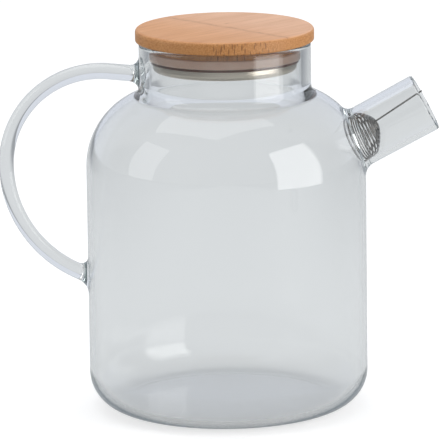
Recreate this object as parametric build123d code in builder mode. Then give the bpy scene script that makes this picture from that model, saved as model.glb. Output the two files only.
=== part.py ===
from build123d import *
import os
from math import acos, cos, degrees, pi, radians, sin, sqrt, tan

# Glass pitcher: a blown borosilicate jug with a bent rod handle, a straining spout and a
# bamboo lid. Millimetres, +Z up. The origin is on the jug's axis, on the face it stands on.
# The spout leans out along +X and the handle stands on -X, both in the XZ plane.

# Jug body, blown in one piece
body_diameter = 130.5
body_wall = 2.2
floor_thickness = 3.0
base_corner_radius = 16.7
shoulder_height = 114.5
shoulder_radius = 36.0
neck_diameter = 80.0
neck_wall = 4.4
neck_root_radius = 5.0
neck_inside_root_radius = 8.0
rim_height = 173.4
rim_round = 1.8

# Handle, one bent glass rod
rod_diameter = 7.0
handle_drop_below_rim = 15.5
handle_upper_tilt = 5.7
handle_upper_radius = 44.1
handle_lower_radius = 56.2
handle_reach_past_body = 37.3
handle_weld_radius = 4.5
handle_weld_turn = 70.0
handle_weld_tuck = 0.7

# Spout, a short tube welded over a hole in the shoulder
spout_tilt = 28.2
spout_rise_on_shoulder = 20.1
spout_length = 34.0
spout_mouth_diameter = 28.0
spout_root_diameter = 27.55
spout_wall = 2.3
spout_mouth_round = 0.8
spout_weld_radius = 2.6
spout_weld_turn = 65.0

# Lid, turned from a laminated bamboo board
lid_diameter = 83.2
lid_thickness = 6.0
lid_top_round = 1.6
lid_bottom_round = 0.8
plug_diameter = 68.6
plug_collar_height = 3.5
plug_flange_height = 1.2

# Silicone ring in a groove round the plug
seal_height = 4.2
seal_groove_depth = 1.9
seal_edge_round = 0.7
seal_to_neck = 0.5

# Steel cap pressed over the end of the plug
liner_inset = 0.8
liner_height = 4.4
liner_sheet = 0.6
liner_corner_radius = 2.4

# Strainer, one steel wire wound as a cone and then a sleeve, with a straight end to pull.
# Its coils slant in the bore, their near sides further in, and the cone leans up at its tip
wire_diameter = 0.8
sleeve_to_bore = 0.4
sleeve_turns = 5
sleeve_pitch = 1.5
cone_turns = 6.5
cone_start_radius = 1.7
cone_height = 6.0
cone_bulge = 1.5
cone_tip_above_axis = 1.8
cone_rim_above_shoulder = 3.0
coil_slant = 12.0
pull_bend_radius = 1.6
pull_end_above_axis = 5.4
pull_end_past_mouth = 1.1
cone_start_angle = 90.0
steps_per_turn = 4
check_points_per_turn = 40
least_wire_gap = 0.4

# How far the welded ends run on before the jug's outline trims them
weld_overrun = 12.0

# Places worked out from the sizes above
body_radius = body_diameter / 2
neck_radius = neck_diameter / 2
neck_bore_radius = neck_radius - neck_wall
rod_radius = rod_diameter / 2
handle_outreach = body_radius + handle_reach_past_body
shoulder_axis_radius = body_radius - shoulder_radius
shoulder_rise = radians(spout_rise_on_shoulder)
spout_way = Vector(cos(radians(spout_tilt)), 0, sin(radians(spout_tilt)))
spout_root = Vector(
    shoulder_axis_radius + shoulder_radius * cos(shoulder_rise),
    0,
    shoulder_height + shoulder_radius * sin(shoulder_rise),
)
spout_mouth = spout_root + spout_way * spout_length
spout_axis = Axis(spout_mouth, spout_way)
spout_side = Plane(origin=spout_mouth, x_dir=spout_way, z_dir=(0, -1, 0))
spout_across = Plane(origin=spout_mouth, x_dir=(-spout_way.Z, 0, spout_way.X), z_dir=spout_way)
spout_hidden_end = -spout_length - weld_overrun
spout_taper = (spout_mouth_diameter - spout_root_diameter) / 2 / spout_length
spout_hidden_radius = spout_mouth_diameter / 2 + spout_taper * spout_hidden_end


# Half of the spout's bore, run on through the shoulder's wall
def bore_outline():
    Polyline(
        (spout_hidden_end, 0),
        (0, 0),
        (0, spout_mouth_diameter / 2 - spout_wall),
        (spout_hidden_end, spout_hidden_radius - spout_wall),
        close=True,
    )


# Half of the jug's outline, from the middle of its floor out, up and back over its neck
def jug_outline(radius, floor, corner, shoulder, neck, neck_root):
    turn = degrees(acos((neck + neck_root - shoulder_axis_radius) / (shoulder + neck_root)))
    bottom = Line((0, floor), (radius - corner, floor))
    heel = JernArc(bottom @ 1, (1, 0), corner, 90)
    side = Line(heel @ 1, (radius, shoulder_height))
    arch = JernArc(side @ 1, (0, 1), shoulder, turn)
    root = JernArc(arch @ 1, arch % 1, neck_root, -turn)
    straight = Line(root @ 1, (neck, rim_height))
    Polyline(straight @ 1, (0, rim_height), (0, floor))


# The jug as if it were solid, which the welded pieces are trimmed to
with BuildPart() as jug_outside:
    with BuildSketch(Plane.XZ):
        with BuildLine():
            jug_outline(
                body_radius, 0, base_corner_radius, shoulder_radius,
                neck_radius, neck_root_radius,
            )
        make_face()
    revolve(axis=Axis.Z)


# Half of a melted joint's outline about the x axis: it leaves a rod or tube at start and
# spreads towards the glass that it is welded to
def weld_outline(tube_radius, start, radius, turn):
    side = Line((start, 0), (start, tube_radius))
    flare = JernArc(side @ 1, (-1, 0), radius, -turn)
    foot = (flare @ 1).Y
    Polyline(flare @ 1, (-weld_overrun + start, foot), (-weld_overrun + start, 0), (start, 0))


# Jug body: its wall turned about the axis, with a hole in the shoulder for the spout
with BuildPart() as jug_body:
    with BuildSketch(Plane.XZ) as jug_section:
        with BuildLine():
            jug_outline(
                body_radius, 0, base_corner_radius, shoulder_radius,
                neck_radius, neck_root_radius,
            )
        make_face()
        with BuildLine():
            jug_outline(
                body_radius - body_wall, floor_thickness, base_corner_radius - body_wall,
                shoulder_radius - body_wall, neck_bore_radius, neck_inside_root_radius,
            )
        make_face(mode=Mode.SUBTRACT)
        fillet(jug_section.vertices().group_by(Axis.Y)[-1], rim_round)
    revolve(axis=Axis.Z)
    with BuildSketch(spout_side):
        with BuildLine():
            bore_outline()
        make_face()
    revolve(axis=spout_axis, mode=Mode.SUBTRACT)

# Spout: a slightly flared tube with a melted joint at its root
with BuildPart() as spout:
    with BuildSketch(spout_side) as spout_section:
        with BuildLine():
            Polyline(
                (spout_hidden_end, spout_hidden_radius - spout_wall),
                (0, spout_mouth_diameter / 2 - spout_wall),
                (0, spout_mouth_diameter / 2),
                (spout_hidden_end, spout_hidden_radius),
                close=True,
            )
        make_face()
        fillet(spout_section.vertices().group_by(Axis.X)[-1], spout_mouth_round)
    revolve(axis=spout_axis)
    with BuildSketch(Plane(origin=spout_root, x_dir=spout_way, z_dir=(0, -1, 0))):
        with BuildLine():
            weld_outline(spout_root_diameter / 2, 0, spout_weld_radius, spout_weld_turn)
        make_face()
    revolve(axis=spout_axis)
    with BuildSketch(spout_side):
        with BuildLine():
            bore_outline()
        make_face()
    revolve(axis=spout_axis, mode=Mode.SUBTRACT)
    add(jug_outside.part, mode=Mode.SUBTRACT)

# Handle: from the neck out along a short straight, round two arcs and back to the wall
upper_tilt = radians(handle_upper_tilt)
upper_way = Vector(-cos(upper_tilt), 0, sin(upper_tilt))
neck_joint = Vector(-neck_radius, 0, rim_height - handle_drop_below_rim)
upper_bend_x = handle_upper_radius * (1 + sin(upper_tilt)) - handle_outreach
upper_run = (-neck_radius - upper_bend_x) / cos(upper_tilt)
lower_turn = degrees(acos(1 - handle_reach_past_body / handle_lower_radius))
with BuildPart() as handle:
    with BuildLine(Plane.XZ) as handle_path:
        start = neck_joint - upper_way * weld_overrun
        top = Line(start, neck_joint + upper_way * upper_run)
        upper = JernArc(top @ 1, upper_way, handle_upper_radius, 90 + handle_upper_tilt)
        lower = JernArc(upper @ 1, upper % 1, handle_lower_radius, lower_turn)
        Line(lower @ 1, lower @ 1 + lower % 1 * weld_overrun)
    with BuildSketch(Plane(origin=start, z_dir=upper_way)):
        Circle(rod_radius)
    sweep(path=handle_path.wire())
    for joint, rod_way in ((neck_joint, upper_way), (lower @ 1, -(lower % 1))):
        way = (rod_way + Vector(-1, 0, 0)).normalized()
        with BuildSketch(Plane(origin=joint, x_dir=way, z_dir=(0, -1, 0))):
            with BuildLine():
                weld_outline(
                    rod_radius - handle_weld_tuck, handle_weld_radius,
                    handle_weld_radius, handle_weld_turn,
                )
            make_face()
        revolve(axis=Axis(joint, way))
    add(jug_outside.part, mode=Mode.SUBTRACT)

# Lid: a round board with a plug below it, grooved for the seal and stepped for the cap
plug_radius = plug_diameter / 2
liner_radius = plug_radius - liner_inset
seal_top = rim_height - plug_collar_height
seal_bottom = seal_top - seal_height
liner_top = seal_bottom - plug_flange_height
liner_bottom = liner_top - liner_height
groove_radius = plug_radius - seal_groove_depth
core_radius = liner_radius - liner_sheet
core_bottom = liner_bottom + liner_sheet
with BuildPart() as bamboo_lid:
    with BuildSketch(Plane.XZ):
        with BuildLine():
            Polyline(
                (0, core_bottom),
                (core_radius, core_bottom),
                (core_radius, liner_top),
                (plug_radius, liner_top),
                (plug_radius, seal_bottom),
                (groove_radius, seal_bottom),
                (groove_radius, seal_top),
                (plug_radius, seal_top),
                (plug_radius, rim_height),
                (lid_diameter / 2, rim_height),
                (lid_diameter / 2, rim_height + lid_thickness),
                (0, rim_height + lid_thickness),
                close=True,
            )
        make_face()
    revolve(axis=Axis.Z)
    fillet(bamboo_lid.edges().group_by(Axis.Z)[0], liner_corner_radius - liner_sheet)
    fillet(bamboo_lid.edges().group_by(Axis.Z)[-1], lid_top_round)
    board_edges = bamboo_lid.edges().filter_by(GeomType.CIRCLE).group_by(SortBy.RADIUS)[-1]
    fillet(board_edges.sort_by(Axis.Z)[0], lid_bottom_round)

# Silicone seal: a smooth band that fills the groove and stands a little proud of the plug
with BuildPart() as silicone_seal:
    with BuildSketch(Plane.XZ) as seal_section:
        with BuildLine():
            Polyline(
                (groove_radius, seal_bottom),
                (neck_bore_radius - seal_to_neck, seal_bottom),
                (neck_bore_radius - seal_to_neck, seal_top),
                (groove_radius, seal_top),
                close=True,
            )
        make_face()
        fillet(seal_section.vertices().group_by(Axis.X)[-1], seal_edge_round)
    revolve(axis=Axis.Z)

# Lid liner: a drawn steel cap, open at the top, over the end of the plug
with BuildPart(Plane.XY.offset(liner_bottom)) as lid_liner:
    Cylinder(liner_radius, liner_height, align=(Align.CENTER, Align.CENTER, Align.MIN))
    fillet(lid_liner.edges().group_by(Axis.Z)[0], liner_corner_radius)
    offset(amount=-liner_sheet, openings=lid_liner.faces().sort_by(Axis.Z)[-1])

# Strainer path, in turns of the wire counted from the tip of its cone
bore_root_radius = spout_root_diameter / 2 - spout_wall
sleeve_radius = bore_root_radius - sleeve_to_bore - wire_diameter / 2
cone_rim_depth = spout_length - cone_rim_above_shoulder


def wire_point(turn):
    share = min(max(turn / cone_turns, 0), 1)
    radius = cone_start_radius + (sleeve_radius - cone_start_radius) * share
    rise = cone_height * (1 - share**cone_bulge) - sleeve_pitch * max(turn - cone_turns, 0)
    angle = radians(cone_start_angle) + 2 * pi * turn
    up = radius * cos(angle) + cone_tip_above_axis * (1 - share)
    near = radius * sin(angle)
    depth = cone_rim_depth - rise + near * tan(radians(coil_slant))
    return spout_across.from_local_coords(Vector(up, near, -depth))


def wire_way(turn):
    step = 1 / check_points_per_turn
    return (wire_point(turn + step) - wire_point(turn - step)).normalized()


# Two arcs in a smooth line, from one point and direction to the next
def biarc(start, start_way, end, end_way):
    chord = end - start
    along = chord.dot(start_way + end_way)
    bend = 2 * (1 - start_way.dot(end_way))
    reach = (sqrt(along * along + bend * chord.dot(chord)) - along) / bend
    near, far = start + start_way * reach, end - end_way * reach
    middle = (near + far) / 2
    TangentArc(start, middle, tangent=start_way)
    TangentArc(middle, end, tangent=far - near)


# Strainer: swept along its path from the end that is pulled to the last turn of the sleeve
with BuildPart() as spout_filter:
    with BuildLine() as filter_path:
        pull_end = spout_across.from_local_coords(
            Vector(pull_end_above_axis, 0, pull_end_past_mouth)
        )
        tip = wire_point(0)
        bend_start = tip - wire_way(0) * pull_bend_radius + spout_way * pull_bend_radius
        pull_way = (bend_start - pull_end).normalized()
        Line(pull_end, bend_start)
        biarc(bend_start, pull_way, tip, wire_way(0))
        turns = cone_turns + sleeve_turns
        for step in range(int(turns * steps_per_turn)):
            turn, next_turn = step / steps_per_turn, (step + 1) / steps_per_turn
            biarc(wire_point(turn), wire_way(turn), wire_point(next_turn), wire_way(next_turn))
        last = wire_point(turns)
        Line(last, last + wire_way(turns) * wire_diameter)
    with BuildSketch(Plane(origin=pull_end, z_dir=pull_way)):
        Circle(wire_diameter / 2)
    sweep(path=filter_path.wire())

# The wire's least gap to itself, and its swept volume against its length
wire = filter_path.wire()
points = [wire_point(i / check_points_per_turn) for i in range(int(turns * check_points_per_turn))]
neighbours = check_points_per_turn // steps_per_turn
gap = min(
    (points[i] - points[j]).length - wire_diameter
    for i in range(len(points))
    for j in range(i + neighbours, len(points))
)
print("strainer: least gap", round(gap, 2), "mm, over", least_wire_gap, gap > least_wire_gap)
print("tightest radius", round(min(e.radius for e in wire.edges().filter_by(GeomType.CIRCLE)), 2))
print("volume over section times length", round(
    spout_filter.part.volume / (pi * wire_diameter**2 / 4 * wire.length), 4))

os.makedirs("parts", exist_ok=True)
pieces = {
    "jug_body": jug_body,
    "handle": handle,
    "spout": spout,
    "spout_filter": spout_filter,
    "bamboo_lid": bamboo_lid,
    "silicone_seal": silicone_seal,
    "lid_liner": lid_liner,
}
for name, piece in pieces.items():
    piece.part.label = name
    export_step(piece.part, f"parts/{name}.step")
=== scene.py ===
from math import acos, cos, pi, radians, sin, sqrt, tan, tau

import bpy
import numpy as np
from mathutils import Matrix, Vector


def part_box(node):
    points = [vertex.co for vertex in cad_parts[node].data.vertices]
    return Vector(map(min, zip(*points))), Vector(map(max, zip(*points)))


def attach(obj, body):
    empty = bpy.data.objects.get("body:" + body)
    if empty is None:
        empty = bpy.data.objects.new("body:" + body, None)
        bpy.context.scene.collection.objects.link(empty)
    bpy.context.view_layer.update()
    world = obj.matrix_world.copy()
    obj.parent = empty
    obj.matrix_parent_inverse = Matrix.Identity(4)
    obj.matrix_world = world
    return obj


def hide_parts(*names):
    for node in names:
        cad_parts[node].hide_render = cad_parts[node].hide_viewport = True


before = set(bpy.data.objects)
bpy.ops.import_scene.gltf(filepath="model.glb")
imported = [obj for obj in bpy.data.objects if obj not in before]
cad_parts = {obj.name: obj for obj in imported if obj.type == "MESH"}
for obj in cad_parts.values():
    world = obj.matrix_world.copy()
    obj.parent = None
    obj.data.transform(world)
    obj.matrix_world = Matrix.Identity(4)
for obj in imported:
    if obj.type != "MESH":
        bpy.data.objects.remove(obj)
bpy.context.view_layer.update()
mm = 0.001

# Camera. It stands two and a half metres in front of the jug and under half a metre above its
# lid, with a long lens, and is tipped down and rolled slightly, so that the jug leans left.
camera_place = (-3.24 * mm, -2454 * mm, 621 * mm)
camera_dip = 12.257
camera_roll = -0.76
camera_film = 36
camera_lens = 439.4
camera = bpy.data.objects.new("camera", bpy.data.cameras.new("camera"))
camera.data.sensor_width = camera_film
camera.data.lens = camera_lens
camera.location = camera_place
camera.rotation_mode = "ZYX"
camera.rotation_euler = (radians(90 - camera_dip), 0, radians(camera_roll))
bpy.context.scene.collection.objects.link(camera)
bpy.context.scene.camera = camera

# Jug body. Borosilicate tube blown into a mould: an even wall with a round heel and
# shoulder, a thicker neck, and a rim that is ground level and then fire-polished.
jug_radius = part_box("jug_body")[1].y
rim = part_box("jug_body")[1].z
jug_wall = 2.2 * mm
jug_floor = 3.0 * mm
heel_radius = 16.7 * mm
shoulder_radius = 36 * mm
shoulder_height = 114.5 * mm
neck_radius = 40 * mm
neck_wall = 4.4 * mm
neck_root_outside = 5 * mm
neck_root_inside = 8 * mm
rim_round = 1.8 * mm


def corner(across, up, radius):
    """Distance outside a quarter round about the point 0, 0 and the straights that leave it"""
    beyond = np.hypot(np.maximum(across, 0), np.maximum(up, 0))
    return beyond + np.minimum(np.maximum(across, up), 0) - radius


def blown_face(across, up, radius, bottom, heel, shoulder, neck, root):
    """Distance outside one face of the wall, by distance from the jug's axis and height"""
    crown = radius - shoulder
    root_up = shoulder_height + sqrt((shoulder + root) ** 2 - (neck + root - crown) ** 2)
    body = np.where(
        up < shoulder_height / 2,
        corner(across - radius + heel, bottom + heel - up, heel),
        corner(across - crown, up - shoulder_height, shoulder),
    )
    left_of_arch = (neck + root - crown) * (up - shoulder_height) > (
        (root_up - shoulder_height) * (across - crown))
    fillet = root - np.hypot(across - neck - root, up - root_up)
    lower = np.where(left_of_arch & (up > shoulder_height), fillet, body)
    return np.where(up < root_up, lower, across - neck)


def melted(one, other, radius):
    """Distance outside two faces that meet in a fillet"""
    meeting = np.hypot(np.maximum(radius - one, 0), np.maximum(radius - other, 0))
    return np.maximum(radius, np.minimum(one, other)) - meeting


def polished(face, end, radius):
    """Distance outside a face that is cut off at an end, with the edge rounded"""
    edge = np.hypot(np.maximum(radius + face, 0), np.maximum(radius + end, 0))
    return np.minimum(-radius, np.maximum(face, end)) + edge


# Handle. A solid glass rod, bent in a flame round two arcs, and melted onto the neck and
# the wall. The pull of the bend leaves it a little thinner in the middle than at its ends.
rod_middle = 6.9 * mm
rod_ends = 7.6 * mm
rod_thins_over = 45 * mm
rod_outermost_half = 3.5 * mm
rod_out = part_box("handle")[0].x + rod_outermost_half
rod_drop = 15.5 * mm
rod_tilt = radians(5.7)
rod_upper_bend = 44.1 * mm
rod_lower_bend = 56.2 * mm
rod_melt = 4.5 * mm
rod_hidden = 12 * mm
beside_bend = 1000 * mm


def along_run(x, z, start, way, length):
    """Distance from a straight run in the plane of the handle"""
    share = np.clip((x - start[0]) * way[0] + (z - start[1]) * way[1], 0, length)
    return np.hypot(x - start[0] - share * way[0], z - start[1] - share * way[1])


def along_bend(x, z, centre, radius, first, last):
    """Distance from an arc in the plane of the handle, or far off beside its ends"""
    turned = np.mod(np.arctan2(z - centre[1], x - centre[0]), tau)
    off = np.abs(np.hypot(x - centre[0], z - centre[1]) - radius)
    return np.where((turned >= first) & (turned <= last), off, beside_bend)


def rod_face(x, y, z):
    """Distance outside the handle's rod"""
    neck_joint = (-neck_radius, rim - rod_drop)
    upper_end = rod_out + rod_upper_bend * (1 + sin(rod_tilt))
    run = (-neck_radius - upper_end) / cos(rod_tilt)
    turn_height = neck_joint[1] + run * sin(rod_tilt) - rod_upper_bend * cos(rod_tilt)
    lower_turn = acos(1 - (-jug_radius - rod_out) / rod_lower_bend)
    wall_joint = (-jug_radius, turn_height - rod_lower_bend * sin(lower_turn))
    off = np.minimum.reduce([
        along_run(x, z, (neck_joint[0] + rod_hidden, neck_joint[1] - rod_hidden * tan(rod_tilt)),
                  (-cos(rod_tilt), sin(rod_tilt)), run + rod_hidden / cos(rod_tilt)),
        along_bend(x, z, (rod_out + rod_upper_bend, turn_height), rod_upper_bend,
                   pi / 2 - rod_tilt, pi),
        along_bend(x, z, (rod_out + rod_lower_bend, turn_height), rod_lower_bend,
                   pi, pi + lower_turn),
        along_run(x, z, wall_joint, (sin(lower_turn), -cos(lower_turn)), rod_hidden),
    ])
    thick = np.clip((x - rod_out) / rod_thins_over, 0, 1)
    return np.hypot(off, y) - (rod_middle + (rod_ends - rod_middle) * thick) / 2


# Spout. A short glass tube, a touch wider at its mouth, melted onto the shoulder over a
# hole, with the mouth cut square and fire-polished.
spout_tilt = radians(28.2)
spout_rise = radians(20.1)
spout_length = 34 * mm
spout_mouth_radius = 14 * mm
spout_root_radius = 13.775 * mm
spout_wall = 2.3 * mm
spout_round = 0.8 * mm
spout_melt = 3.2 * mm
spout_melt_inside = 1.6 * mm
spout_hidden = 12 * mm
spout_way = Vector((cos(spout_tilt), 0, sin(spout_tilt)))
spout_mouth = Vector((
    jug_radius - shoulder_radius + shoulder_radius * cos(spout_rise),
    0,
    shoulder_height + shoulder_radius * sin(spout_rise),
)) + spout_way * spout_length


def glass_face(x, y, z):
    """Distance outside the finished glass: body, handle and spout in one piece"""
    across = np.hypot(x, y)
    past_mouth = (x - spout_mouth.x) * spout_way.x + (z - spout_mouth.z) * spout_way.z
    above_spout = (z - spout_mouth.z) * spout_way.x - (x - spout_mouth.x) * spout_way.z
    taper = (spout_mouth_radius - spout_root_radius) / spout_length
    tube = np.hypot(above_spout, y) - spout_mouth_radius - taper * past_mouth
    hidden_end = -past_mouth - spout_length - spout_hidden
    outside = blown_face(across, z, jug_radius, 0, heel_radius, shoulder_radius,
                         neck_radius, neck_root_outside)
    outside = melted(outside, rod_face(x, y, z), rod_melt)
    outside = melted(outside, np.maximum(tube, hidden_end), spout_melt)
    inside = blown_face(across, z, jug_radius - jug_wall, jug_floor, heel_radius - jug_wall,
                        shoulder_radius - jug_wall, neck_radius - neck_wall, neck_root_inside)
    inside = melted(inside, np.maximum(tube + spout_wall, hidden_end), spout_melt_inside)
    wall = polished(np.maximum(outside, -inside), z - rim, rim_round)
    return polished(wall, past_mouth, spout_round)


# Glass. Once melted together, the blown jug, the rod and the tube are one clear piece. It is
# meshed in cells round the jug's axis, narrower at the rod and the spout, and each point is
# drawn onto the glass and takes its true slope.
ring_step = 1.3 * mm
plain_wall_step = 2.6 * mm
plain_wall_foot = 20 * mm
plain_wall_top = 50 * mm
turn_step = radians(2.25)
rod_turn_step = radians(0.36)
rod_turn = radians(5)
spout_turn_step = radians(0.75)
spout_turn = radians(17)
relaxing_rounds = 6
settling_rounds = 3
slope_reach = 0.02 * mm
turns_tried = 7200


def slope(points):
    """The way straight out of the glass at each point, and how far out the point is"""
    reach = np.eye(3) * slope_reach
    rise = [glass_face(*(points + r).T) - glass_face(*(points - r).T) for r in reach]
    way = np.stack(rise, 1) / (2 * slope_reach)
    steep = np.linalg.norm(way, axis=1, keepdims=True)
    return way / steep, glass_face(*points.T)[:, None] / steep


def meridians():
    """Angles about the axis, bunched at the spout, which is at 0, and at the rod, at pi"""
    fine = np.linspace(0, tau, turns_tried + 1)
    near_spout = np.exp(-(np.minimum(fine, tau - fine) / spout_turn) ** 4)
    near_rod = np.exp(-((fine - pi) / rod_turn) ** 4)
    density = 1 / turn_step + near_spout / spout_turn_step + near_rod / rod_turn_step
    total = np.append(0, np.cumsum((density[1:] + density[:-1]) / 2 * fine[1]))
    return np.interp(np.arange(int(total[-1])) / int(total[-1]) * total[-1], total, fine)


def glass_net():
    """Points of the glass, one in each cell of the rings that a face crosses, and its faces"""
    rings = np.arange(-ring_step / 2, rod_middle - rod_out, ring_step)
    turns = meridians()
    heights = np.concatenate([
        np.arange(plain_wall_foot, -2 * ring_step, -ring_step)[:0:-1],
        np.arange(plain_wall_foot, plain_wall_top, plain_wall_step),
        np.arange(plain_wall_top, rim + 2 * ring_step, ring_step),
    ])
    ring, turn, height = np.meshgrid(rings, turns, heights, indexing="ij")
    solid = glass_face(ring * np.cos(turn), ring * np.sin(turn), height) < 0

    # Solid points that touch only across a diagonal are joined, so no edge has four faces.
    for first, second in ((0, 1), (1, 2), (0, 2)):
        beside, above = np.roll(solid, -1, first), np.roll(solid, -1, second)
        opposite = np.roll(beside, -1, second)
        kissing = (solid == opposite) & (beside == above) & (solid != beside)
        solid |= kissing | np.roll(kissing, 1, first)

    # A face crosses a cell whose eight corners are neither all solid nor all clear. The cells
    # about the axis are one cell.
    count = solid.astype(int) + np.roll(solid, -1, 1)
    count = count[:-1] + count[1:]
    count = count[:, :, :-1] + count[:, :, 1:]
    crossed = np.pad((count > 0) & (count < 8), ((0, 1), (0, 0), (0, 1)))
    cell = np.cumsum(crossed).reshape(crossed.shape) - 1
    cell[0] = cell[0, :1]
    i, j, k = np.nonzero(crossed)
    turn_ends = np.append(turns, tau)
    across = rings[i] + ring_step / 2
    turn = (turn_ends[j] + turn_ends[j + 1]) / 2
    points = np.stack([across * np.cos(turn), across * np.sin(turn),
                       (heights[k] + heights[k + 1]) / 2], 1)

    # A face lies between a solid point and a clear one. The points behind the axis, and the
    # step from the last ring round to the first, make none.
    faces = []
    for axis in range(3):
        others = ((axis + 1) % 3, (axis + 2) % 3)
        change = solid != np.roll(solid, -1, axis)
        change[-1 if axis == 0 else 0] = False
        face = np.stack([np.roll(cell, shift, others)[change]
                         for shift in ((1, 1), (0, 1), (0, 0), (1, 0))], 1)
        faces.append(np.where(solid[change][:, None], face, face[:, ::-1]))
    used, faces = np.unique(np.concatenate(faces), return_inverse=True)
    return points[used], faces.reshape(-1, 4)


def drawn_on(points, faces):
    """The points evened out among their neighbours and drawn onto the glass"""
    ends = np.concatenate([faces, np.roll(faces, 1, 1)]).ravel()
    others = np.concatenate([np.roll(faces, 1, 1), faces]).ravel()
    shares = np.bincount(ends, minlength=len(points))[:, None]
    for _ in range(relaxing_rounds):
        sums = [np.bincount(ends, points[others, a], len(points)) for a in range(3)]
        points = np.stack(sums, 1) / shares
        for _ in range(settling_rounds):
            way, off = slope(points)
            points = points - way * off
    return points


points, faces = glass_net()
points = drawn_on(points, faces)
glass_mesh = bpy.data.meshes.new("glass")
glass_mesh.from_pydata(points.tolist(), [], [list(dict.fromkeys(f)) for f in faces.tolist()])
glass_mesh.shade_smooth()
glass_mesh.normals_split_custom_set_from_vertices(slope(points)[0].tolist())
glass = bpy.data.objects.new("glass_jug", glass_mesh)
bpy.context.scene.collection.objects.link(glass)
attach(glass, "jug")
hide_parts("jug_body", "handle", "spout")

glass_tint = (0.992, 0.996, 0.993, 1)
glass_index = 1.47
glass_depth_tint = (0.80, 0.84, 0.83, 1)
glass_depth_density = 14.0
ripple_size = (9, 9, 30)
ripple_depth = 0.004 * mm
caught_after = 3.5
caught_tint = (0.60, 0.63, 0.64, 1)


def finish(name, **settings):
    """A new material with a Principled surface, and that surface's sockets"""
    material = bpy.data.materials.new(name)
    material.use_nodes = True
    surface = material.node_tree.nodes["Principled BSDF"].inputs
    for setting, value in settings.items():
        surface[setting.replace("_", " ")].default_value = value
    return material, surface


def node(material, kind, inputs, **settings):
    """Output of a new shader node. Each of its inputs is a value or another node's output"""
    made = material.node_tree.nodes.new("ShaderNode" + kind)
    for setting, value in settings.items():
        setattr(made, setting, value)
    sockets = [socket for socket in made.inputs if socket.enabled]
    names = [socket.name for socket in sockets]
    for name, value in inputs.items():
        socket = sockets[name if isinstance(name, int) else names.index(name)]
        if isinstance(value, bpy.types.NodeSocket):
            material.node_tree.links.new(value, socket)
        else:
            socket.default_value = value
    return next(socket for socket in made.outputs if socket.enabled)


def reckon(material, operation, *values):
    """A sum, product or other reckoning with numbers"""
    return node(material, "Math", dict(enumerate(values)), operation=operation)


def point_in_mm(material, stretch=(1, 1, 1)):
    """The point of the piece in millimetres, or in units of a stretch of them"""
    point = material.node_tree.nodes.new("ShaderNodeTexCoord").outputs["Object"]
    per_mm = [1 / (mm * share) for share in stretch]
    return node(material, "VectorMath", {0: point, 1: per_mm}, operation="MULTIPLY")


def noise(material, place, detail, scale=1.0):
    """Noise that changes about once in each unit of the place, or more often by a scale"""
    return node(material, "TexNoise", {"Vector": place, "Scale": scale, "Detail": detail})


def bumpy(material, surface, height, depth):
    """A relief of a given depth in the surface"""
    bump = node(material, "Bump", {"Height": height, "Strength": 1.0, "Distance": depth})
    material.node_tree.links.new(bump, surface["Normal"])


clear_glass, surface = finish(
    "clear_glass", Base_Color=glass_tint, Roughness=0.0, IOR=glass_index,
    Transmission_Weight=1.0)
ripple = noise(clear_glass, point_in_mm(clear_glass, ripple_size), detail=1.0)
bumpy(clear_glass, surface, ripple, ripple_depth)
depth = node(clear_glass, "VolumeAbsorption",
             {"Color": glass_depth_tint, "Density": glass_depth_density})
finished = clear_glass.node_tree.nodes["Material Output"].inputs
clear_glass.node_tree.links.new(depth, finished["Volume"])

# Light that is caught in a weld or the wall goes from face to face. After four reflections it
# goes straight out, weaker, so that the welds and the edges show grey and not black.
seen_by = clear_glass.node_tree.nodes.new("ShaderNodeLightPath").outputs
caught = reckon(clear_glass, "GREATER_THAN", seen_by["Glossy Depth"], caught_after)
straight_out = node(clear_glass, "BsdfTransparent", {"Color": caught_tint})
clear_surface = surface["Base Color"].node.outputs["BSDF"]
clear_glass.node_tree.links.new(
    node(clear_glass, "MixShader", {0: caught, 1: clear_surface, 2: straight_out}),
    finished["Surface"])
glass_mesh.materials.append(clear_glass)

# Strainer. One bright steel wire, wound as a cone and on into a sleeve that springs against
# the spout's bore, with a straight end that it is pulled out by. The turns slant in the bore,
# their near sides further in, and the cone's tip lies a little above the spout's axis.
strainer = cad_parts["spout_filter"]
# Painted shade: the wire's steel colour is set far darker than real steel, standing in for the
# dark surroundings that it reflects.
wire_colour_painted_dark = (0.22, 0.214, 0.205, 1)
wire_roughness = (0.08, 0.24)
die_mark_size = (0.5, 0.5, 0.5)


def roughened(material, surface, amount, least, most):
    """A roughness from least to most, as an amount goes from 0 to 1"""
    rough = node(material, "MapRange", {"Value": amount, "To Min": least, "To Max": most})
    material.node_tree.links.new(rough, surface["Roughness"])


def given(piece, material):
    """The CAD's own piece with its material"""
    piece.data.materials.clear()
    piece.data.materials.append(material)


wire_steel, surface = finish("wire_steel", Base_Color=wire_colour_painted_dark, Metallic=1.0)
die_marks = noise(wire_steel, point_in_mm(wire_steel, die_mark_size), detail=2.0)
roughened(wire_steel, surface, die_marks, *wire_roughness)
given(strainer, wire_steel)

# Bamboo lid. A disc and the plug under it, turned from one cross-laid bamboo board, sanded
# and lightly oiled. The fibres end on the front and back of the core, where they show as
# dark dashes, and a node of the cane with a bud scar crosses the top.
bamboo_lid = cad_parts["bamboo_lid"]
fibre_turn = radians(44)
core_turn = radians(101)
top_ply = 0.5
top_ply_down_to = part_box("bamboo_lid")[1].z / mm - top_ply
ply_joint_half = 0.15
# Painted shade: the plug end below the seal's bottom edge is coloured dark brown, standing in for
# the shadow under the seal.
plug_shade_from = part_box("silicone_seal")[0].z / mm
plug_shade_fades_over = 0.2
near_root_pale, near_root_dark = (0.72, 0.36, 0.155, 1), (0.58, 0.255, 0.09, 1)
near_tip_pale, near_tip_dark = (0.78, 0.46, 0.285, 1), (0.66, 0.36, 0.20, 1)
root_to_tip = (-26, 26)
root_to_tip_wander = 2.0
core_pale = (0.62, 0.305, 0.11, 1)
core_dark = (0.45, 0.175, 0.045, 1)
plug_shade_colour = (0.12, 0.045, 0.022, 1)

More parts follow.
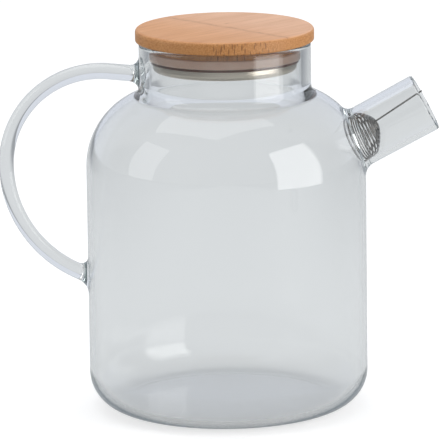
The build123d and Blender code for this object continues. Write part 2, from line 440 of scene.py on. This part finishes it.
streak, streak_share = (34, 0.7, 0.7), 0.4
fine_streak, fine_streak_share = (12, 0.3, 0.3), 0.25
broad_streak, broad_streak_share = (80, 9, 9), 0.35
top_dark_to_pale = (0.40, 0.60)
core_dark_to_pale = (0.2, 0.8)
bamboo_roughness = (0.40, 0.58)
fibre_relief = 0.008 * mm

fibre_end = (30, 0.85, 4.2)
fibre_end_scatter = 0.8
fibre_end_colour = (0.13, 0.04, 0.012, 1)
fibre_end_edge = (0.5, 0.2)
fibre_end_share = 0.6
end_grain = (0.80, 0.95)

endless = 1e4
cane_node_colour = (0.34, 0.14, 0.06, 1)
cane_node_along = 0.5
cane_node_wander = 5.0
cane_node_wander_size = (endless, 13, endless)
cane_node_gap_size = (endless, 7, endless)
cane_node_gaps = (0.35, 0.6)
cane_node_line, cane_node_line_share = 0.8, 0.8
cane_node_band, cane_node_band_share = 3.4, 0.22
bud_scar = (7.7, 6.3)
bud_scar_size = (2.2, 0.9)
bud_scar_edge = (1.0, 0.2)
bud_scar_share = 0.5
noise_middle = 0.5

bamboo, surface = finish("bamboo")


def apart(material, place):
    """The x, y and z of a place"""
    return node(material, "SeparateXYZ", {0: place}).node.outputs[:]


def ramp(material, amount, low, high):
    """0 up to low and 1 from high, or the other way round if high is less than low"""
    return node(material, "MapRange", {"Value": amount, "From Min": low, "From Max": high},
                interpolation_type="SMOOTHSTEP")


def mixed(material, share, one, other):
    """One colour with a share of the other"""
    return node(material, "Mix", {"Factor": share, "A": one, "B": other}, data_type="RGBA")


def along_fibres(turn):
    """The point in millimetres as along the fibres, across them and up"""
    return node(bamboo, "VectorRotate", {"Vector": point_in_mm(bamboo), "Angle": -turn},
                rotation_type="Z_AXIS")


def stretched(place, size):
    """A place in units of a size"""
    return node(bamboo, "VectorMath", {0: place, 1: [1 / s for s in size]},
                operation="MULTIPLY")


def grain(place, size, detail):
    """Noise of a grain size along the fibres, across them and up"""
    return noise(bamboo, stretched(place, size), detail)


top_place, core_place = along_fibres(fibre_turn), along_fibres(core_turn)
top_streaks = grain(top_place, streak, detail=3.0)
tone, fine_tone, broad_tone = [
    reckon(bamboo, "MULTIPLY", streaks, share)
    for streaks, share in ((top_streaks, streak_share),
                           (grain(top_place, fine_streak, detail=2.0), fine_streak_share),
                           (grain(top_place, broad_streak, detail=2.0), broad_streak_share))]
top_tone = reckon(bamboo, "ADD", tone, reckon(bamboo, "ADD", fine_tone, broad_tone))
top_shade = ramp(bamboo, top_tone, *top_dark_to_pale)

# The cane's node: a broken dark line that wanders across the fibres in a fainter band, with
# an oval bud scar beside it.
along, across, _ = apart(bamboo, top_place)
wander = reckon(bamboo, "MULTIPLY", reckon(
    bamboo, "SUBTRACT", grain(top_place, cane_node_wander_size, detail=3.0), noise_middle),
    cane_node_wander)
from_node = reckon(bamboo, "ABSOLUTE", reckon(
    bamboo, "SUBTRACT", reckon(bamboo, "SUBTRACT", along, wander), cane_node_along))
unbroken = ramp(bamboo, grain(top_place, cane_node_gap_size, detail=1.0), *cane_node_gaps)
line = reckon(bamboo, "MULTIPLY", cane_node_line_share, reckon(
    bamboo, "MULTIPLY", ramp(bamboo, from_node, cane_node_line, 0.0), unbroken))
band = reckon(bamboo, "MULTIPLY", ramp(bamboo, from_node, cane_node_band, 0.0),
              cane_node_band_share)
bud_offsets = [
    reckon(bamboo, "DIVIDE", reckon(bamboo, "SUBTRACT", way, middle), size)
    for way, middle, size in zip((along, across), bud_scar, bud_scar_size)]
from_bud = reckon(bamboo, "SQRT", reckon(bamboo, "ADD", *[
    reckon(bamboo, "POWER", offset, 2.0) for offset in bud_offsets]))
bud = reckon(bamboo, "MULTIPLY", ramp(bamboo, from_bud, *bud_scar_edge), bud_scar_share)
cane_node = reckon(bamboo, "MAXIMUM", reckon(bamboo, "MAXIMUM", line, band), bud)

wavering = reckon(bamboo, "ADD", along, reckon(bamboo, "MULTIPLY", wander, root_to_tip_wander))
near_root = mixed(bamboo, top_shade, near_root_dark, near_root_pale)
near_tip = mixed(bamboo, top_shade, near_tip_dark, near_tip_pale)
top_colour = mixed(bamboo, ramp(bamboo, wavering, *root_to_tip), near_root, near_tip)
top_colour = mixed(bamboo, cane_node, top_colour, cane_node_colour)

core_streaks = grain(core_place, streak, detail=3.0)
core_colour = mixed(bamboo, ramp(bamboo, core_streaks, *core_dark_to_pale), core_dark, core_pale)
fibre_ends = node(bamboo, "TexVoronoi", {"Vector": stretched(core_place, fibre_end),
                                         "Scale": 1.0, "Randomness": fibre_end_scatter})
core_along, core_across = [
    reckon(bamboo, "POWER", way, 2.0) for way in apart(bamboo, core_place)[:2]]
facing_ends = reckon(bamboo, "DIVIDE", core_along, reckon(bamboo, "ADD", core_along, core_across))
dashes = reckon(bamboo, "MULTIPLY", ramp(bamboo, fibre_ends, *fibre_end_edge),
                ramp(bamboo, facing_ends, *end_grain))
core_colour = mixed(bamboo, reckon(bamboo, "MULTIPLY", dashes, fibre_end_share), core_colour,
                    fibre_end_colour)

_, _, height = apart(bamboo, point_in_mm(bamboo))
# Painted shade: below the seal's bottom edge the plug's colour fades to a dark brown, standing in
# for the shadow under the seal.
in_plug_shade = ramp(bamboo, height, plug_shade_from + plug_shade_fades_over, plug_shade_from)
core_colour = mixed(bamboo, in_plug_shade, core_colour, plug_shade_colour)
in_top_ply = ramp(bamboo, height, top_ply_down_to - ply_joint_half,
                  top_ply_down_to + ply_joint_half)
bamboo.node_tree.links.new(
    mixed(bamboo, in_top_ply, core_colour, top_colour), surface["Base Color"])
roughened(bamboo, surface, top_streaks, *bamboo_roughness)
bumpy(bamboo, surface, reckon(bamboo, "ADD", top_streaks, core_streaks), fibre_relief)
given(bamboo_lid, bamboo)

# Seal. A moulded ring of translucent silicone, stretched over the plug into its groove, with
# a slight bloom.
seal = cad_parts["silicone_seal"]
seal_clean = (0.74, 0.49, 0.37, 1)
seal_bloom = (0.82, 0.61, 0.50, 1)
bloom_size = (5, 5, 2)
silicone, surface = finish("silicone", Roughness=0.36, Subsurface_Weight=0.3,
                           Subsurface_Scale=1.5 * mm, Subsurface_Radius=(1.0, 0.8, 0.7))
bloom = noise(silicone, point_in_mm(silicone, bloom_size), detail=4.0)
silicone.node_tree.links.new(
    mixed(silicone, bloom, seal_clean, seal_bloom), surface["Base Color"])
given(seal, silicone)

# Steel cap. A drawn cup of stainless steel, brushed round as it spins and pushed over the
# end of the plug.
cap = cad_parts["lid_liner"]
cap_colour = (0.52, 0.47, 0.40, 1)
cap_roughness = (0.18, 0.42)
brush_line = 0.11
brush_depth = 0.004 * mm
cap_steel, surface = finish("cap_steel", Base_Color=cap_colour, Metallic=1.0)
*cap_sideways, cap_height = apart(cap_steel, point_in_mm(cap_steel))
cap_across = reckon(cap_steel, "SQRT", reckon(cap_steel, "ADD", *[
    reckon(cap_steel, "POWER", way, 2.0) for way in cap_sideways]))
round_cap = node(cap_steel, "CombineXYZ", {"X": cap_across, "Y": cap_height})
brushing = noise(cap_steel, round_cap, detail=2.0, scale=1 / brush_line)
roughened(cap_steel, surface, brushing, *cap_roughness)
bumpy(cap_steel, surface, brushing, brush_depth)
given(cap, cap_steel)

# Floor and surroundings. A plain white paper sweep that glows white far from the jug, under
# pale surroundings. The glass and the steel see a darker sweep, darkest at the sides, and a
# cool backdrop behind the jug.
floor_size = 12.0
floor_drop = 0.3 * mm
paper_colour = (0.52, 0.52, 0.52, 1)
paper_glow = (0.62, 0.62, 0.62, 1)
far_glow = (1, 1, 1, 1)
far_from, far_to = 1100, 1900
middle_in_glass = (0.345, 0.353, 0.358, 1)
side_in_glass = (0.16, 0.168, 0.178, 1)
sweep_ends = (230, 650)
bpy.ops.mesh.primitive_plane_add(size=floor_size, location=(0, 0, -floor_drop))
floor = bpy.context.object
floor.name = "floor"
paper, surface = finish("white_paper", Roughness=0.9)
seen_by = paper.node_tree.nodes.new("ShaderNodeLightPath").outputs
seen_in_glass = reckon(paper, "MAXIMUM", seen_by["Is Transmission Ray"], seen_by["Is Glossy Ray"])
sideways = reckon(paper, "ABSOLUTE", apart(paper, point_in_mm(paper))[0])
in_glass = mixed(paper, ramp(paper, sideways, *sweep_ends), middle_in_glass, side_in_glass)
away = node(paper, "VectorMath", {0: point_in_mm(paper)}, operation="LENGTH")
far = node(paper, "MapRange", {"Value": away, "From Min": far_from, "From Max": far_to})
glow = mixed(paper, far, paper_glow, far_glow)
for socket, plain in (("Base Color", paper_colour), ("Emission Color", glow)):
    paper.node_tree.links.new(mixed(paper, seen_in_glass, plain, in_glass), surface[socket])
paper.node_tree.links.new(
    reckon(paper, "MAXIMUM", seen_by["Is Camera Ray"], seen_in_glass),
    surface["Emission Strength"])
floor.data.materials.append(paper)

world = bpy.data.worlds.new("studio")
bpy.context.scene.world = world
world.use_nodes = True
room_low, room_high = (0.40, 0.41, 0.42, 1), (0.62, 0.63, 0.64, 1)
backdrop_in_glass = (0.70, 0.735, 0.81, 1)
backdrop_edge = (0.25, 0.7)
backdrop = (1, 1, 1, 1)
sky = world.node_tree.nodes["Background"].inputs
seen_by = world.node_tree.nodes.new("ShaderNodeLightPath").outputs
way = world.node_tree.nodes.new("ShaderNodeTexCoord").outputs["Generated"]
_, back, up = apart(world, way)
room = mixed(world, node(world, "Clamp", {0: up}), room_low, room_high)
room = mixed(world, ramp(world, back, *backdrop_edge), room, backdrop_in_glass)
world.node_tree.links.new(
    mixed(world, seen_by["Is Camera Ray"], room, backdrop), sky["Color"])

# Lights. A soft window on the right, a soft box on the left and a broad soft light overhead.
# The window is a bright pane that shows in the glass and the steel as a reflection. It and
# the two panels don't show straight through the glass.
window_size = (0.45, 0.62)
window_place = (0.525, -0.291, 0.31)
window_aim = (0, 0, 0.31)
window_power = 2.6
window_shows_after = 0.5


def aimed(piece, place, aim, front):
    """A light placed, with its front turned towards a point"""
    piece.location = place
    piece.rotation_euler = (Vector(aim) - Vector(place)).to_track_quat(front, "Y").to_euler()
    piece.visible_camera = False


def soft_light(name, place, aim, width, height, power):
    """A flat panel of soft light that doesn't show through the glass"""
    panel = bpy.data.lights.new(name, "AREA")
    panel.shape = "RECTANGLE"
    panel.size, panel.size_y, panel.energy = width, height, power
    lamp = bpy.data.objects.new(name, panel)
    aimed(lamp, place, aim, "-Z")
    lamp.visible_transmission = False
    bpy.context.scene.collection.objects.link(lamp)


bpy.ops.mesh.primitive_plane_add(size=1)
window = bpy.context.object
window.name = "window"
window.scale = (*window_size, 1)
aimed(window, window_place, window_aim, "Z")
window.visible_shadow = False
pane, _ = finish("window_pane")
seen_by = pane.node_tree.nodes.new("ShaderNodeLightPath").outputs
back_side = pane.node_tree.nodes.new("ShaderNodeNewGeometry").outputs["Backfacing"]
reflected = reckon(pane, "GREATER_THAN", seen_by["Glossy Depth"], window_shows_after)
not_through = reckon(pane, "SUBTRACT", 1.0, seen_by["Is Transmission Ray"])
shown = reckon(pane, "MULTIPLY", reckon(pane, "SUBTRACT", 1.0, back_side),
               reckon(pane, "MAXIMUM", reflected, not_through))
bright = node(pane, "Emission",
              {"Strength": window_power / (pi * window_size[0] * window_size[1])})
clear = node(pane, "BsdfTransparent", {})
pane.node_tree.links.new(
    node(pane, "MixShader", {0: shown, 1: clear, 2: bright}),
    pane.node_tree.nodes["Material Output"].inputs["Surface"])
window.data.materials.append(pane)

soft_light("left_box", place=(-1.75, -0.5, 0.8), aim=(0, 0, 0.1), width=0.9, height=1.5, power=7)
soft_light("overhead", place=(-0.2, 0.2, 1.7), aim=(0, 0, 0.1), width=1.4, height=1.4, power=9)
bpy.context.scene.view_settings.view_transform = "Standard"
